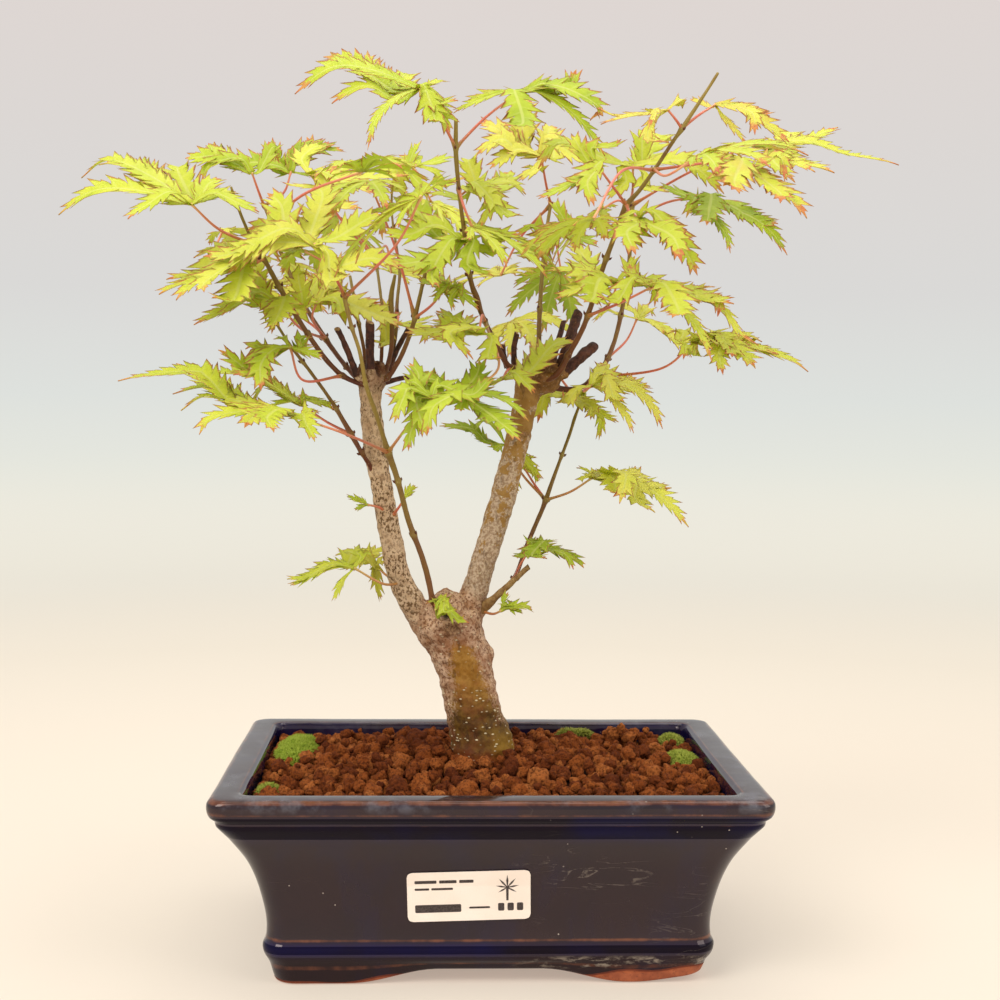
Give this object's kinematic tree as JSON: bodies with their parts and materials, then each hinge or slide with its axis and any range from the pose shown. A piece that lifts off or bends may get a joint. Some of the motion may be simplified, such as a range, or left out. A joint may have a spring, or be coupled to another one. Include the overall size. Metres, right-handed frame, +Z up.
{
  "type": "potted bonsai tree",
  "caption": "Young palmate maple bonsai with a forked trunk, cut-back knuckles and finely cut leaves, growing in granular soil in a glazed rectangular pot",
  "frame": {"origin": "on the table under the middle of the plant and its pot", "axes": "+Z up; +X to the right when facing the labelled long side of the pot; +Y away from the labelled side; the label faces -Y"},
  "size_m": [0.3301, 0.2693, 0.3644],
  "materials": {
    "glaze": "gloss",
    "paper_label": "satin",
    "akadama": "matte",
    "moss": "matte",
    "bark": "matte",
    "twig": "satin",
    "leaf": "satin"
  },
  "bodies": {
    "root": {"label": "paper_label", "leaves_c1_a": "leaf", "leaves_c1_b": "leaf", "leaves_c2_a": "leaf", "leaves_crotch": "leaf", "leaves_d1_a": "leaf", "leaves_d1_b": "leaf", "leaves_d1_c": "leaf", "leaves_ds_a": "leaf", "leaves_l1_a": "leaf", "leaves_l1_b": "leaf", "leaves_l1_c": "leaf", "leaves_l2_a": "leaf", "leaves_l2_b": "leaf", "leaves_ls_a": "leaf", "leaves_ls_b": "leaf", "leaves_r1_a": "leaf", "leaves_r1_b": "leaf", "leaves_r1_c": "leaf", "leaves_r1_d": "leaf", "leaves_r1_e": "leaf", "leaves_r2_a": "leaf", "leaves_r2_b": "leaf", "leaves_r3_a": "leaf", "leaves_r3_b": "leaf", "leaves_r3_c": "leaf", "leaves_r3_d": "leaf", "leaves_r4_a": "leaf", "leaves_r4_b": "leaf", "leaves_r4_c": "leaf", "leaves_r4_d": "leaf", "leaves_r4_e": "leaf", "leaves_u2_a": "leaf", "leaves_u3_a": "leaf", "leaves_u3_b": "leaf", "leaves_u4_a": "leaf", "moss_back": "moss", "moss_back_left": "moss", "moss_left": "moss", "moss_right": "moss", "moss_right_back": "moss", "pot": "glaze", "shoot_c1": "twig", "shoot_c2": "twig", "shoot_d1": "twig", "shoot_l1": "twig", "shoot_l2": "twig", "shoot_r1": "twig", "shoot_r2": "twig", "shoot_r3": "twig", "shoot_r4": "twig", "shoot_u1": "twig", "shoot_u2": "twig", "shoot_u3": "twig", "shoot_u4": "twig", "shoot_u5": "twig", "soil": "akadama", "trunk": "bark"}
  },
  "joints": []
}
